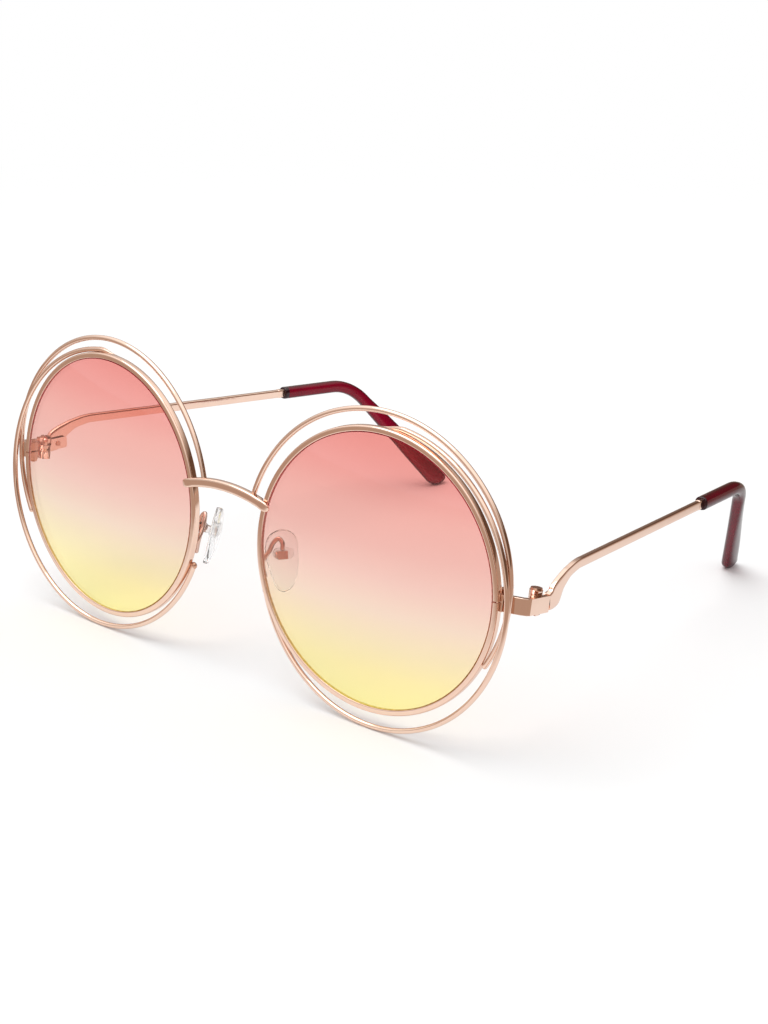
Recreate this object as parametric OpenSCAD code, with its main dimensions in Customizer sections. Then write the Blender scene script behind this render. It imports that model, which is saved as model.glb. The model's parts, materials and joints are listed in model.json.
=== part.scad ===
// Oversized round sunglasses with wire rims and a halo of two wires round each lens
// They stand open on the floor, on the two lower wires and the two ear tips
// +X is the wearer's left, +Y runs back to the ear tips, +Z is up

/* [Lenses] */
// Diameter of a lens, measured at the tip of its edge bevel
lens_d = 60; // [54:0.5:62]
// Thickness of a lens
lens_t = 1.8; // [1.4:0.1:2]
// Radius of the outer curve of a lens
lens_curve = 150; // [120:5:260]
// Height of the bevel that seats in the groove of the rim
bevel_h = 0.45; // [0.3:0.05:0.6]
// Gap between the two lenses at the nose
lens_gap = 20.5; // [18:0.5:24]
// Angle that each lens turns back towards its temple
wrap = 4; // [1:0.5:7]
// Angle that the tops of the lenses lean back
lean = 3.1; // [1:0.1:6]

/* [Rims] */
// Width of the rim as seen from the front
rim_w = 1.4; // [1.2:0.05:1.8]
// Depth of the rim from front to back
rim_depth = 1.8; // [1.6:0.1:2.4]
// Corner radius of the rim
rim_round = 0.4; // [0.2:0.05:0.45]
// Width of the cut where the rim opens to take its lens
rim_cut = 0.3; // [0.2:0.05:0.5]

/* [Halo wires] */
// Diameter of the halo wires
wire_d = 1.2; // [1:0.05:1.4]
// Clear gap between the rim and the upper wire over the top
upper_gap = 2.65; // [2:0.05:3.2]
// Angle round the lens where the upper wire lands on the bridge
upper_start = 164.8; // [163:0.2:166]
// Angle round the lens where the upper wire starts to close in
upper_turn = 38; // [30:1:46]
// How much smaller the radius of its closing bend is
upper_close = 4.4; // [4:0.1:5]
// Clear gap between the rim and the lower wire at its widest
lower_gap = 2.6; // [2.2:0.05:3]
// Angle round the lower wire where its top end meets the rim
lower_start = 80; // [78:0.5:82]
// Angle round the lower wire where its nose end meets the rim
lower_end = -161; // [-163:0.5:-159]
// Angle that the lower wire tips forward off the plane of the rim
lower_tilt = 3.6; // [3.5:0.1:4.4]

/* [Bridge] */
// Height of the bridge bar
bridge_h = 1.9; // [1.8:0.05:2.4]
// Depth of the bridge bar
bridge_depth = 1.8; // [1.6:0.05:2.2]
// Radius that the bridge is arched to
bridge_arch = 40; // [34:1:48]
// Height of the middle of the bridge above the lens centres
bridge_rise = 9.6; // [9.3:0.1:10.2]
// How far the bridge stands in front of the lens centres
bridge_front = 3; // [2.6:0.1:3.4]

/* [Endpieces and hinges] */
// How far a hinge pin stands outside the edge of its lens
pin_out = 3.35; // [2.8:0.1:4.2]
// Distance of a hinge pin behind the lens centres
pin_y = 10.5; // [9.5:0.1:12]
// Height of the middle of a hinge below the lens centres
hinge_low = 0.6; // [0:0.1:1.2]
// Angle that the hinge pin leans back
hinge_tilt = 9.5; // [7:0.5:12]
// Height of the endpiece strip
end_h = 3.5; // [3:0.1:4]
// Thickness of the endpiece strip
end_t = 1.1; // [0.9:0.05:1.3]
// Outer diameter of the hinge barrel
barrel_d = 2.8; // [2.5:0.05:3]
// Height of the whole hinge barrel
barrel_h = 5; // [4.4:0.1:5.6]
// Diameter of the hinge screw
hinge_screw_d = 1.2; // [1:0.05:1.4]
// Thickness of the hinge leaves
leaf_t = 0.6; // [0.5:0.05:0.8]
// Length of the hinge leaf on the temple
leaf_len = 5; // [4:0.1:6]
// Diameter of the screw that closes the rim
lock_screw_d = 0.9; // [0.7:0.05:1]
// Height of each half of the closing block
lock_h = 2.1; // [1.8:0.1:2.6]

/* [Temples] */
// Height of the temple bar
bar_h = 2.1; // [1.8:0.05:2.6]
// Thickness of the temple bar
bar_t = 1.3; // [1.1:0.05:1.5]
// Height of the temple at its hinge
plate_h = 3.4; // [3:0.1:4]
// Length of the swoop between the hinge and the straight bar
swoop_len = 13; // [11:0.5:15]
// Height that the swoop climbs
swoop_rise = 4.35; // [3.5:0.05:5]
// Length from the hinge to the corner of the ear bend
bend_at = 98.8; // [90:0.2:106]
// Angle that the temple runs in towards the head
temple_in = 7.8; // [5:0.1:9]
// Angle that the straight bar slopes down
bar_slope = 4.4; // [3.4:0.1:5.4]
// Radius of the ear bend
bend_r = 14; // [10:0.5:16]
// Angle that the ear tip drops below the level
tip_drop = 50.3; // [46:0.1:55]
// Angle that the ear tip turns in from the line of the bar
tip_in = 26.6; // [20:0.1:30]
// Length of the temple from the hinge to the mouth of the ear tip
mouth_at = 74.8; // [68:0.2:80]
// Width of the ear tip in the plane of its bend
tip_w = 3.15; // [3:0.05:3.6]
// Thickness of the ear tip
tip_t = 3.1; // [2.7:0.05:3.4]
// Width of the paddle at the end of the ear tip
paddle_w = 5.3; // [4.6:0.1:6]
// Length of the wire core inside the ear tip
core_len = 44; // [34:1:48]
// Width and thickness of the wire core
core_w = 1.5; // [1.2:0.05:1.8]

/* [Nose pads] */
// Height of a nose pad
pad_len = 13.6; // [12:0.2:15]
// Width of a nose pad
pad_w = 7.6; // [6.5:0.1:8.5]
// Thickness of a nose pad at its crown
pad_t = 2.2; // [1.8:0.1:2.6]
// How far the pad screw stands outside the nose edge of the lens
pad_out = 2.05; // [1.85:0.05:2.6]
// Distance of the pad screw behind the lens centres
pad_y = 2.8; // [2.6:0.1:3.6]
// Height of the pad screw below the lens centres
pad_low = 3.9; // [3:0.1:5]
// Angle that the pads open towards the face
pad_splay = 30; // [22:1:36]
// Angle that the tops of the pads lean in towards the nose
pad_lean = 12; // [7:1:15]
// Diameter of the pad arm wire
arm_d = 1; // [0.9:0.05:1.1]
// Diameter of the pad screw
pad_screw_d = 0.8; // [0.7:0.05:0.9]

/* [Fits] */
// Radial clearance of a screw in its hole
screw_fit = 0.04; // [0.02:0.01:0.08]
// Clearance between hinge knuckles, end to end
knuckle_fit = 0.06; // [0.04:0.01:0.1]
// Clearance between a lens and its groove
lens_fit = 0.03; // [0.02:0.01:0.06]
// Gap left for solder between soldered parts
solder = 0.03; // [0.02:0.01:0.06]
// Gap between the endpiece and the open temple
butt_gap = 0.08; // [0.06:0.01:0.15]
// Gap between a turning barrel and the wall beside it
turn_gap = 0.2; // [0.15:0.05:0.3]

/* [Hidden] */

// Facets of large rings, bores and wire sections
ring_fn = 144;
bore_fn = 32;
wire_fn = 20;
// How far a cut runs past the solid that it cuts
over = 1;

// Colours as photographed
rose_gold = [0.86, 0.67, 0.55];
solder_gold = [0.76, 0.52, 0.38];
tint = [0.95, 0.68, 0.62, 0.6];
burgundy = [0.5, 0.08, 0.14];
clear = [0.93, 0.94, 0.95, 0.6];

// Angles of a full turn and of a quarter of it
full_turn = 360;
quarter_turn = full_turn / 4;

// Places that follow from the size of a lens and the gap beside it
lens_pitch = lens_d + lens_gap;
pin_x = lens_gap / 2 + lens_d + pin_out;
pad_x = lens_gap / 2 + pad_out;

// Radii round a lens, from the open edge of the rim outwards
lens_r = lens_d / 2;
open_r = lens_r - bevel_h;
rim_r = open_r + rim_w;
wire_r = wire_d / 2;
hug_r = rim_r + wire_r + solder;
rim_half = rim_depth / 2;

// Turns about the axes, for points
function turn_x(a, p) = [p.x, p.y * cos(a) - p.z * sin(a), p.y * sin(a) + p.z * cos(a)];
function turn_y(a, p) = [p.x * cos(a) + p.z * sin(a), p.y, p.z * cos(a) - p.x * sin(a)];
function turn_z(a, p) = [p.x * cos(a) - p.y * sin(a), p.x * sin(a) + p.y * cos(a), p.z];
function unit(v) = v / norm(v);
function ray(a) = [cos(a), sin(a)];
function arch(u) = sqrt(max(0, 1 - u * u));
function smooth(u) = let (v = min(max(u, 0), 1)) v * v * (3 - 2 * v);

// Upper wire: an arc round the lens, then a tighter one that closes on the rim
upper_r = rim_r + upper_gap + wire_r;
upper_bend_r = upper_r - upper_close;
upper_land = acos((hug_r * hug_r - upper_close * upper_close - upper_bend_r * upper_bend_r)
    / (2 * upper_close * upper_bend_r));
upper_end = upper_turn - upper_land;
// Angle that the upper wire leans back
upper_lean = 1.2;
// How far the upper wire sits ahead of the middle of the rim
upper_ahead = wire_r / 3;

// Lower wire: one wide arc off the lens centre, with both ends on the rear corner of the rim
lower_seat_r = rim_r - rim_round + sqrt(pow(rim_round + wire_r + solder, 2) - pow(rim_round, 2));
lower_dir = (lower_start + lower_end) / 2;
lower_swing = lower_start - lower_dir;
lower_r = rim_r + lower_gap + wire_r;
lower_k = (lower_r * lower_r - lower_seat_r * lower_seat_r) / (2 * (1 - cos(lower_swing)));
lower_off = (lower_r - sqrt(lower_r * lower_r - 4 * lower_k)) / 2;
lower_arc_r = lower_r - lower_off;
// Distance of its ends from the lens centre, along the direction in which it stands off most
lower_end_u = lower_off + lower_arc_r * cos(lower_swing);
lower_run = lower_off - lower_end_u;

// Height of the lens centres, which puts the lower wires on the floor
up_in_ring = [-sin(wrap) * sin(lean), cos(lean), cos(wrap) * sin(lean)];
lower_axis = concat(-sin(lower_tilt) * ray(lower_dir), [cos(lower_tilt)]);
lower_centre = concat((lower_end_u + lower_run * cos(lower_tilt)) * ray(lower_dir),
    [lower_run * sin(lower_tilt) - rim_half]);
lens_z = lower_arc_r * sqrt(1 - pow(up_in_ring * lower_axis, 2)) + wire_r - up_in_ring * lower_centre;

// Points in the frames that the parts are built in, with the lens centres at zero depth
function front_pt(p) = [0, 0, lens_z] + turn_x(-lean, p);
function ring_pt(p) = front_pt([lens_pitch / 2, 0, 0] + turn_z(wrap, turn_x(quarter_turn, p)));
function pad_pt(p) = front_pt([pad_x, pad_y, -pad_low] + turn_z(-pad_splay, turn_y(-pad_lean, p)));

// The same frames for solids, set back so that the whole is centred on its depth
module placed() translate([0, front_y, 0]) children();
module front_frame() placed() translate([0, 0, lens_z]) rotate([-lean, 0, 0]) children();
module ring_frame() front_frame() translate([lens_pitch / 2, 0, 0]) rotate([0, 0, wrap])
    rotate([90, 0, 0]) children();
module pad_frame() front_frame() translate([pad_x, pad_y, -pad_low]) rotate([0, 0, -pad_splay])
    rotate([0, -pad_lean, 0]) children();
module hinge_frame() placed() translate([pin_x, pin_y, lens_z - hinge_low])
    rotate([-hinge_tilt, 0, 0]) children();

// Hinge sizes, measured from the pin
barrel_r = barrel_d / 2;
wall_in = barrel_r + turn_gap;
wall_out = wall_in + end_t;
split_y = barrel_r + turn_gap / 2;
knuckle_h = (barrel_h - 2 * knuckle_fit) / 3;
hinge_head_h = barrel_h / 11;
slot_w = hinge_screw_d / 4;
// The webs stop a little inside the round of the barrel
web_y = barrel_r * 0.9;
web_share = 0.85;

// Closing block, behind the rim and level with the endpiece
lock_r = lock_screw_d / 2 + rim_w / 3;
lock_at_r = open_r + lock_r + solder;
lock_back = rim_half + lock_r + rim_w / 2 + solder;
lock_angle = asin((pin_y * sin(hinge_tilt) - hinge_low) / rim_r);

// Temple: stations along the swoop, as shares of its length and of its rise, then the share
// by which a section is taller than the bar, and the angle that it leans to the hinge
swoop_shares = [[0, 0, 1, 0], [0.077, 0.017, 1.5, -3], [0.15, 0.086, 2.06, 6], [0.235, 0.167, 2.4, 10],
    [0.32, 0.293, 2.36, 6], [0.404, 0.49, 1.65, -1], [0.496, 0.672, 1.07, -8], [0.65, 0.868, 0.21, 7],
    [0.838, 0.968, 0.1, 4], [1, 1, 0, -bar_slope]];
temple_t = bar_t;
temple_at = [pin_x + wall_out - temple_t / 2, pin_y + split_y, lens_z - hinge_low];
module temple_frame() placed() translate(temple_at) rotate([0, 0, temple_in]) children();
along = turn_z(temple_in, [0, 1, 0]);
outward = turn_z(temple_in, [1, 0, 0]);
upward = [0, 0, 1];
function temple_pt(l, d, z) = temple_at + l * along + d * outward + z * upward;
function catmull(a, b, c, d, u) = (2 * b + (c - a) * u + (2 * a - 5 * b + 4 * c - d) * u * u
    + (3 * b - a - 3 * c + d) * u * u * u) / 2;

// Straight bar, ear bend and ear tip, as a path of points with their directions
bar_dir = cos(bar_slope) * along - sin(bar_slope) * upward;
tip_dir = turn_z(temple_in, [-cos(tip_drop) * sin(tip_in), cos(tip_drop) * cos(tip_in), -sin(tip_drop)]);
bend_angle = acos(bar_dir * tip_dir);
bend_cut = bend_r * tan(bend_angle / 2);
bend_side = unit(tip_dir - (tip_dir * bar_dir) * bar_dir);
bar_start = temple_pt(swoop_len, 0, swoop_rise);
corner = bar_start + (bend_at - swoop_len) / cos(bar_slope) * bar_dir;
bend_start = corner - bend_cut * bar_dir;
bend_centre = bend_start + bend_r * bend_side;
mouth = bar_start + (mouth_at - swoop_len) / cos(bar_slope) * bar_dir;
mouth_run = norm(bend_start - mouth);
bend_run = bend_r * bend_angle * PI / 180;
// Point and direction of the path at a distance s past the mouth of the ear tip
function path_at(s) = s <= mouth_run ? mouth + s * bar_dir
    : s <= mouth_run + bend_run
    ? let (a = (s - mouth_run) / bend_r * 180 / PI)
        bend_centre - bend_r * cos(a) * bend_side + bend_r * sin(a) * bar_dir
    : corner + (bend_cut + s - mouth_run - bend_run) * tip_dir;
function path_dir(s) = s <= mouth_run ? bar_dir
    : s <= mouth_run + bend_run
    ? let (a = (s - mouth_run) / bend_r * 180 / PI) sin(a) * bend_side + cos(a) * bar_dir
    : tip_dir;

// A ring of a sweep: centre, direction, reach to each side in the plane of the bend,
// and thickness, with corners squarer than an ellipse
function corner_pt(a, squareness) = let (c = cos(a), s = sin(a))
    [sign(c) * pow(abs(c), squareness), sign(s) * pow(abs(s), squareness)];
function section(at, side, rise, low, high, thick, sides, squareness) =
    [for (i = [0 : sides - 1]) let (q = corner_pt(full_turn * (i + 0.5) / sides, squareness))
        at + side * q.x * thick / 2 + rise * ((high - low) / 2 + q.y * (high + low) / 2)];
function ring(at, dir, low, high, thick, sides, squareness) =
    let (side = unit(outward - (outward * dir) * dir))
    section(at, side, cross(side, dir), low, high, thick, sides, squareness);
function lids(rings, sides) = concat(
    [[for (i = [sides - 1 : -1 : 0]) i]],
    [for (k = [0 : rings - 2]) for (i = [0 : sides - 1]) let (j = (i + 1) % sides)
        each [[k * sides + i, k * sides + j, (k + 1) * sides + i],
            [(k + 1) * sides + i, k * sides + j, (k + 1) * sides + j]]],
    [[for (i = [0 : sides - 1]) (rings - 1) * sides + i]]);
module sweep(rings, sides) polyhedron([for (r = rings) each r], lids(len(rings), sides), convexity = 6);

// Ear tip: it flares behind from the bend on, and ends on a slant with a sharp rear corner
rear_round = tip_w * 0.3;
under_round = tip_w * 1.4;
under_lift = paddle_w - rear_round * 1.3;
function under_edge(s, total) = let (u = max(0, s - total + under_round) / under_round)
    tip_w / 2 - under_lift * (1 - arch(u));
function rear_edge(s, total) =
    let (flare_from = mouth_run + bend_run,
        flare = sin(quarter_turn * max(0, s - flare_from) / (total - flare_from)),
        u = max(0, s - total + rear_round) / rear_round)
    tip_w / 2 + (paddle_w - tip_w) * flare - rear_round * (1 - arch(u));
tip_sides = 16;
mouth_round = tip_t / 8;
function tip_stations(total) = concat(
    [0, mouth_round * 0.3, mouth_round, mouth_run],
    [for (i = [1 : 7]) mouth_run + bend_run * i / 7],
    [for (i = [1 : 6]) let (a = mouth_run + bend_run, b = total - under_round) a + (b - a) * i / 6],
    [for (i = [1 : 8]) total - under_round * (1 - sin(quarter_turn * i / 8))]);
function tip_thick(s, total) = let (u = max(0, s - total + tip_t / 2) / (tip_t / 2),
        v = max(0, mouth_round - s) / mouth_round)
    tip_t * (1 - 0.08 * smooth((s - mouth_run) / (total - mouth_run))) * (0.4 + 0.6 * arch(u))
        - mouth_round * (1 - arch(v));
function tip_ring(s, total) = let (v = max(0, mouth_round - s) / mouth_round,
        cut = mouth_round * (1 - arch(v)))
    ring(path_at(s), path_dir(s), under_edge(s, total) - cut / 2, rear_edge(s, total) - cut / 2,
        tip_thick(s, total), tip_sides, 0.78);
function tip_rings(total) = [for (s = tip_stations(total)) tip_ring(s, total)];
// A first guess of the length is corrected so that the tip meets the floor
tip_guess = mouth_run + bend_run + corner.z;
tip_low = min([for (r = tip_rings(tip_guess)) for (p = r) p.z]);
tip_total = tip_guess + tip_low / -tip_dir.z;

// The whole reaches from the bulge of the lenses to the back of the ear tips
lens_centre_z = lens_t / 2 - sqrt(pow(lens_curve, 2) - pow(open_r - lens_fit, 2));
front_reach = lens_curve + lens_centre_z * cos(wrap) * cos(lean);
back_reach = max([for (r = tip_rings(tip_total)) for (p = r) p.y]);
front_y = (front_reach - back_reach) / 2;

// Pads: attached a share of their height below the top, measured from the pad screw
pad_top_share = 0.38;
tab_t = pad_screw_d * 1.25;
tab_r = pad_screw_d;
cheek_t = pad_screw_d * 0.65;
cheek_r = pad_screw_d * 1.15;
cheek_in = tab_t / 2 + knuckle_fit;
pad_back = cheek_r + turn_gap * 4;
insert_d = pad_screw_d * 3.2;
insert_t = pad_screw_d * 0.6;
// The pad and its plate reach further back from the screw than forward
insert_back = insert_d * 0.82;
pad_shift = insert_back * 0.42;

module tube_arc(radius, from, to, share = 1) rotate([0, 0, from])
    rotate_extrude(angle = to - from, $fn = ring_fn) translate([radius, 0])
        circle(share * wire_r, $fn = wire_fn);
// A bead of solder on a wire, a share larger or smaller than the wire
module bead(at, share) translate(concat(at, [0])) sphere(share * wire_r, $fn = wire_fn);
// A rectangle with round corners, about the point where it is drawn
module soft_rect(w, h, r) {
    square([w - 2 * r, h], center = true);
    square([w, h - 2 * r], center = true);
    for (x = [-1, 1]) for (y = [-1, 1]) translate([x * (w / 2 - r), y * (h / 2 - r)])
        circle(r, $fn = wire_fn);
}
// The space inside a rim, and the space that the rim itself fills
module rim_hole(r) translate([0, 0, -lens_pitch / 4]) cylinder(lens_pitch / 2, r, r, $fn = ring_fn);
module rim_body(r, half) translate([0, 0, -half]) cylinder(2 * half, r, r, $fn = ring_fn);

module rim() color(rose_gold) ring_frame() difference() {
    rotate_extrude($fn = ring_fn) difference() {
        translate([open_r + rim_w / 2, 0]) soft_rect(rim_w, rim_depth, rim_round);
        polygon([[open_r - over, -bevel_h - over], [lens_r, 0], [open_r - over, bevel_h + over]]);
    }
    rotate([0, 0, lock_angle]) translate([open_r - over, -rim_cut / 2, -rim_depth])
        cube([rim_w + 2 * over, rim_cut, 2 * rim_depth]);
}

// The lens is a shell between two spheres, and its edge is cut to a bevel
module lens() color(tint) ring_frame() rotate_extrude($fn = ring_fn) {
    edge_r = open_r - lens_fit;
    tip_r = lens_r - lens_fit;
    intersection() {
        translate([0, lens_centre_z]) difference() {
            circle(lens_curve, $fn = 8 * ring_fn);
            circle(lens_curve - lens_t, $fn = 8 * ring_fn);
        }
        polygon([[0, -lens_r], [edge_r, -lens_r], [edge_r, -bevel_h], [tip_r, 0],
            [edge_r, bevel_h], [edge_r, lens_r], [0, lens_r]]);
    }
}

module upper_frame() ring_frame() translate([0, 0, upper_ahead]) rotate([-upper_lean, 0, 0]) children();
module upper_wire() color(rose_gold) upper_frame() {
    tube_arc(upper_r, upper_turn, upper_start);
    translate(concat(upper_close * ray(upper_turn), [0])) tube_arc(upper_bend_r, upper_end, upper_turn);
    bead(upper_r * ray(upper_turn), 1);
}
// The socket in the bridge that takes the foot of the upper wire, with the angles by which it
// is longer than the foot: along the wire, and past its end
socket_run = 12;
socket_end = 0.1;
module upper_socket() upper_frame()
    tube_arc(upper_r, upper_start - socket_run, upper_start + socket_end, (wire_r + solder) / wire_r);

// The lower wire is tipped about the line through its two ends
module lower_wire() color(rose_gold) ring_frame() translate(concat(lower_end_u * ray(lower_dir), [-rim_half]))
    rotate(a = -lower_tilt, v = [-sin(lower_dir), cos(lower_dir), 0])
        translate(concat(lower_run * ray(lower_dir), [0])) tube_arc(lower_arc_r, lower_end, lower_start);

// The bar is arched, and its ends are cut to saddle the rims
module bridge() color(rose_gold) difference() {
    reach = asin(min(0.99, (lens_pitch / 2 - open_r + bridge_h) / bridge_arch));
    front_frame() translate([0, -bridge_front, bridge_rise - bridge_arch]) rotate([90, 0, 0])
        rotate([0, 0, 90 - reach]) rotate_extrude(angle = 2 * reach, $fn = ring_fn)
            translate([bridge_arch, 0]) soft_rect(bridge_h, bridge_depth, bridge_depth * 0.4);
    for (side = [0, 1]) mirror([side, 0, 0]) {
        ring_frame() rim_body(rim_r + solder, rim_half + solder);
        ring_frame() rim_hole(open_r + rim_w / 4);
        upper_socket();
    }
}

// A strip bent round from the rim to the hinge, with a block where it meets the rim
module endpiece() color(rose_gold) difference() {
    hinge_frame() translate([0, 0, -end_h / 2]) linear_extrude(end_h) {
        root_x = lens_pitch / 2 + rim_r * cos(wrap) - pin_x;
        root_y = (rim_r * sin(wrap) - pin_y) / cos(hinge_tilt);
        bend_x = wall_out;
        bend_y = root_y + (wall_out - root_x) / 2;
        polygon([
            [root_x - rim_w, root_y], [root_x + rim_w / 2, root_y], [root_x + rim_w / 2, root_y + end_t / 2],
            [root_x + end_t * 2, root_y + end_t],
            [bend_x - end_t * 1.1, bend_y - end_t * 0.6], [bend_x - end_t * 0.35, bend_y],
            [bend_x, bend_y + end_t * 0.8],
            [bend_x, split_y - butt_gap], [wall_in, split_y - butt_gap],
            [wall_in, bend_y + end_t * 1.15], [bend_x - end_t * 1.5, bend_y + end_t * 0.5],
            [root_x + end_t, root_y + end_t * 1.8], [root_x - rim_w, root_y + end_t * 1.8]]);
    }
    ring_frame() rim_body(rim_r + solder, rim_half + solder);
    ring_frame() rim_hole(rim_r - rim_w / 3);
    lock_space(solder);
}

// The closing block with its feet, as cut out of the endpiece
foot_w = rim_w - solder - rim_round;
module lock_space(grow) ring_frame() rotate([0, 0, lock_angle]) translate([lock_at_r, 0, -lock_back]) {
    block_h = 2 * lock_h + rim_cut + 2 * grow;
    rotate([90, 0, 0]) cylinder(block_h, lock_r + grow, lock_r + grow, center = true, $fn = bore_fn);
    translate([-lock_r - grow, -block_h / 2, -grow])
        cube([foot_w + 2 * grow, block_h, lock_back - rim_half + 2 * grow]);
}

// One half of the closing block, with a foot on the back of the rim
module rim_lock(side) color(solder_gold) ring_frame() rotate([0, 0, lock_angle]) difference() {
    translate([lock_at_r, side * (rim_cut + lock_h) / 2, 0]) {
        translate([0, 0, -lock_back]) rotate([90, 0, 0])
            cylinder(lock_h, lock_r, lock_r, center = true, $fn = bore_fn);
        translate([-lock_r, -lock_h / 2, -lock_back])
            cube([foot_w, lock_h, lock_back - rim_half - solder]);
    }
    translate([lock_at_r, 0, -lock_back]) rotate([90, 0, 0])
        cylinder(3 * lock_h, lock_screw_d / 2 + screw_fit, lock_screw_d / 2 + screw_fit,
            center = true, $fn = bore_fn);
}

module rim_screw() color(solder_gold) ring_frame() rotate([0, 0, lock_angle])
    translate([lock_at_r, 0, -lock_back]) rotate([90, 0, 0]) difference() {
        head_h = lock_screw_d / 2;
        union() {
            cylinder(2 * lock_h + rim_cut, lock_screw_d / 2, lock_screw_d / 2, center = true, $fn = bore_fn);
            translate([0, 0, lock_h + rim_cut / 2]) cylinder(head_h, lock_screw_d * 0.85,
                lock_screw_d * 0.75, $fn = bore_fn);
        }
        translate([-lock_screw_d, -slot_w / 2, lock_h + rim_cut / 2 + head_h / 2])
            cube([2 * lock_screw_d, slot_w, head_h]);
    }

module hinge_bore(h) cylinder(h, hinge_screw_d / 2 + screw_fit, hinge_screw_d / 2 + screw_fit,
    center = true, $fn = bore_fn);

// Top and bottom knuckles on a leaf against the inside of the endpiece
module front_hinge() color(rose_gold) hinge_frame() difference() {
    leaf_x = wall_in - solder - leaf_t;
    union() {
        for (side = [-1, 1]) translate([0, 0, side * (barrel_h - knuckle_h) / 2]) {
            cylinder(knuckle_h, barrel_r, barrel_r, center = true, $fn = bore_fn);
            translate([0, -web_y, -knuckle_h / 2]) cube([wall_in - solder, web_y * web_share, knuckle_h]);
            translate([leaf_x, -2 * barrel_r, -knuckle_h / 2])
                cube([leaf_t, 2 * barrel_r - web_y / 2, knuckle_h]);
        }
        translate([leaf_x, -2 * barrel_r - leaf_t, -end_h / 2]) cube([leaf_t, barrel_r, end_h]);
    }
    hinge_bore(barrel_h + over);
    // The leaf stops at the height of the strip, and clears the knuckle of the temple
    for (side = [-1, 1]) translate([0, -2 * barrel_h - barrel_r, side * (end_h + barrel_h) / 2])
        cube([2 * barrel_h, 4 * barrel_h, barrel_h], center = true);
}

module hinge_screw() color(solder_gold) hinge_frame() difference() {
    union() {
        cylinder(barrel_h, hinge_screw_d / 2, hinge_screw_d / 2, center = true, $fn = bore_fn);
        translate([0, 0, barrel_h / 2])
            cylinder(hinge_head_h, barrel_r * 0.95, barrel_r * 0.85, $fn = bore_fn);
    }
    rotate([0, 0, 25]) translate([-barrel_r, -slot_w / 2, barrel_h / 2 + hinge_head_h / 2])
        cube([barrel_d, slot_w, hinge_head_h]);
}

// The middle knuckle, its web, and the leaf inside the temple
module temple_hinge() color(rose_gold) difference() {
    union() {
        hinge_frame() cylinder(knuckle_h, barrel_r, barrel_r, center = true, $fn = bore_fn);
        hinge_frame() translate([web_y - leaf_t * 1.5, 0, -knuckle_h / 2])
            cube([leaf_t * 1.5, split_y + leaf_t, knuckle_h]);
        temple_frame() translate([-temple_t / 2 - solder - leaf_t, 0, 0])
            rotate([0, 90, 0]) linear_extrude(leaf_t) translate([0, leaf_t + leaf_len / 2])
                soft_rect(plate_h - leaf_t, leaf_len, leaf_t);
    }
    hinge_frame() hinge_bore(knuckle_h + over);
    rivet_space();
}

// The rivet goes through the leaf into the temple, with its head inside
rivet_r = leaf_t * 0.75;
rivet_head = leaf_t * 0.3;
module rivet_frame(back) temple_frame()
    translate([-temple_t / 2 - 2 * solder - leaf_t - back, leaf_len * 0.62, 0]) rotate([0, 90, 0]) children();
module rivet_space() rivet_frame(over)
    cylinder(leaf_t + temple_t / 2 + over + 2 * solder, rivet_r + solder, rivet_r + solder, $fn = bore_fn);
module temple_rivet() color(solder_gold) rivet_frame(rivet_head) {
    cylinder(rivet_head + leaf_t + temple_t / 2, rivet_r, rivet_r, $fn = bore_fn);
    cylinder(rivet_head, rivet_r * 1.3, rivet_r * 1.45, $fn = bore_fn);
}

// Swoop from the hinge plate to the bar, the bar, a collar at the mouth, and the core
swoop_steps = 3;
function swoop_station(i) = let (n = len(swoop_shares) - 1)
    i < 0 ? 2 * swoop_shares[0] - swoop_shares[1]
    : i > n ? 2 * swoop_shares[n] - swoop_shares[n - 1]
    : swoop_shares[i];
function swoop_at(i, u) = catmull(swoop_station(i - 1), swoop_station(i), swoop_station(i + 1),
    swoop_station(i + 2), u);
function swoop_ring(q) = let (h = bar_h + (plate_h - bar_h) * q[2],
        rise = cos(q[3]) * upward - sin(q[3]) * along)
    bar_section(temple_pt(q[0] * swoop_len, 0, q[1] * swoop_rise), rise, h, temple_t);
bar_sides = 12;
bar_square = 0.5;
function bar_section(at, rise, h, t) = section(at, outward, rise, h / 2, h / 2, t, bar_sides, bar_square);
function bar_ring(at, dir, h, t) = bar_section(at, cross(outward, dir), h, t);
swoop_rings = [for (i = [0 : len(swoop_shares) - 2]) for (k = [0 : swoop_steps - 1])
    swoop_ring(swoop_at(i, k / swoop_steps))];
// The collar is a share of the bar's thickness wide, at these distances ahead of the mouth
collar_shares = [[1.5, 0], [1.4, 0.12], [0.7, 0.12], [0.6, 0]];
module temple() color(rose_gold) difference() {
    placed() sweep(concat([bar_ring(temple_at - bar_t * along, along, plate_h, temple_t)], swoop_rings,
        [for (s = [bar_start, (bar_start + mouth) / 2]) bar_ring(s, bar_dir, bar_h, bar_t)],
        [for (q = collar_shares) bar_ring(mouth - q[0] * bar_t * bar_dir, bar_dir,
            bar_h + q[1] * bar_t, bar_t + q[1] * bar_t)],
        [bar_ring(mouth, bar_dir, bar_h, bar_t)],
        core_rings(core_stations, 0, bar_sides)), bar_sides);
    hinge_frame() translate([0, split_y - 2 * plate_h, 0]) cube(4 * plate_h, center = true);
    rivet_space();
}
function core_rings(stations, grow, sides) = [for (s = stations)
    ring(path_at(s), path_dir(s), core_w / 2 + grow, core_w / 2 + grow, core_w * 0.75 + 2 * grow,
        sides, bar_square)];
core_stations = concat([0, mouth_run], [for (i = [1 : 6]) mouth_run + bend_run * i / 6], [core_len]);

// One surface: out of the bore to the mouth, then along the outside to the paddle
module ear_tip() color(burgundy) {
    bore = concat([core_len + solder], [for (i = [len(core_stations) - 2 : -1 : 0]) core_stations[i]]);
    placed() sweep(concat(core_rings(bore, solder, tip_sides), tip_rings(tip_total)), tip_sides);
}

// A wire from the back of the rim up over a gooseneck and down to the box
arm_r = arm_d / 2;
arm_foot_dir = -164;
arm_foot_r = rim_r - rim_w / 3;
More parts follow.
